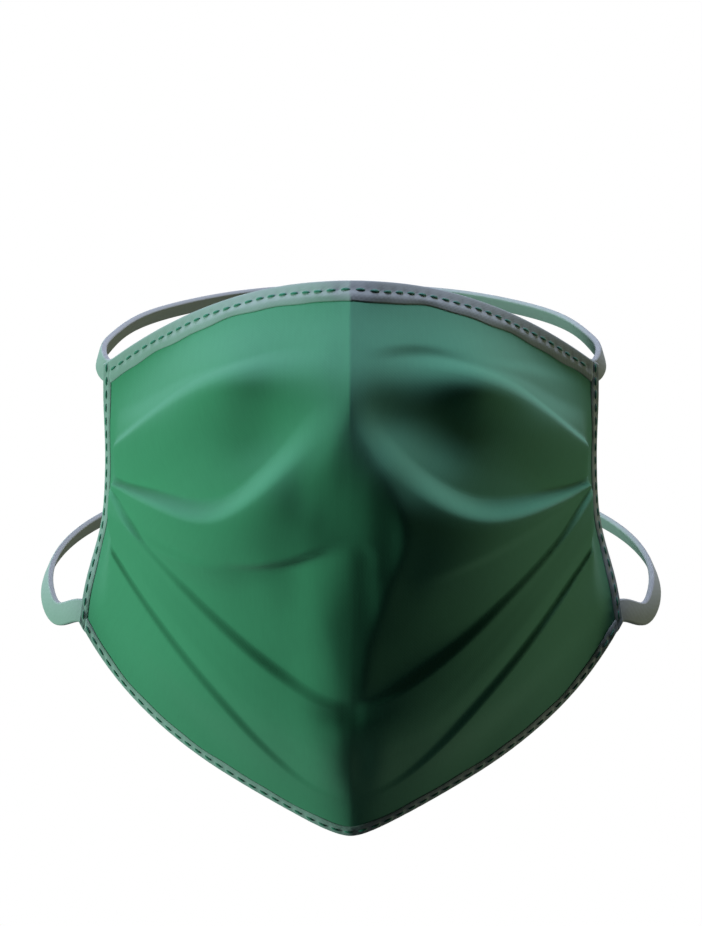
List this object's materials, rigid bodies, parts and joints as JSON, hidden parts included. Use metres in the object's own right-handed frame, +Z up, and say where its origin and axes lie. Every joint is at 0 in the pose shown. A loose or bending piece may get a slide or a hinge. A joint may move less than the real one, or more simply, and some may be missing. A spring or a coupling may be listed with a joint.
{
  "type": "cloth face mask",
  "caption": "Pleated cloth face mask with taped and stitched edges, shaped as worn over nose, cheeks and chin, held by flat elastic straps round the head.",
  "frame": {"origin": "inside the mask at the middle of its top edge, where it sits on the bridge of the nose", "axes": "+Y from the front of the mask back into the head, +Z up, +X to the right seen from the front"},
  "size_m": [0.1852, 0.2102, 0.1482],
  "materials": {
    "cloth": "matt woven cotton, green",
    "binding": "matt folded tape, pale grey",
    "strap": "matt knitted elastic, pale grey"
  },
  "bodies": {
    "root": {"mask_body": "cloth", "top_binding": "binding", "side_binding_left": "binding", "side_binding_right": "binding", "bottom_binding": "binding", "upper_head_strap": "strap", "lower_head_strap": "strap"}
  },
  "joints": []
}
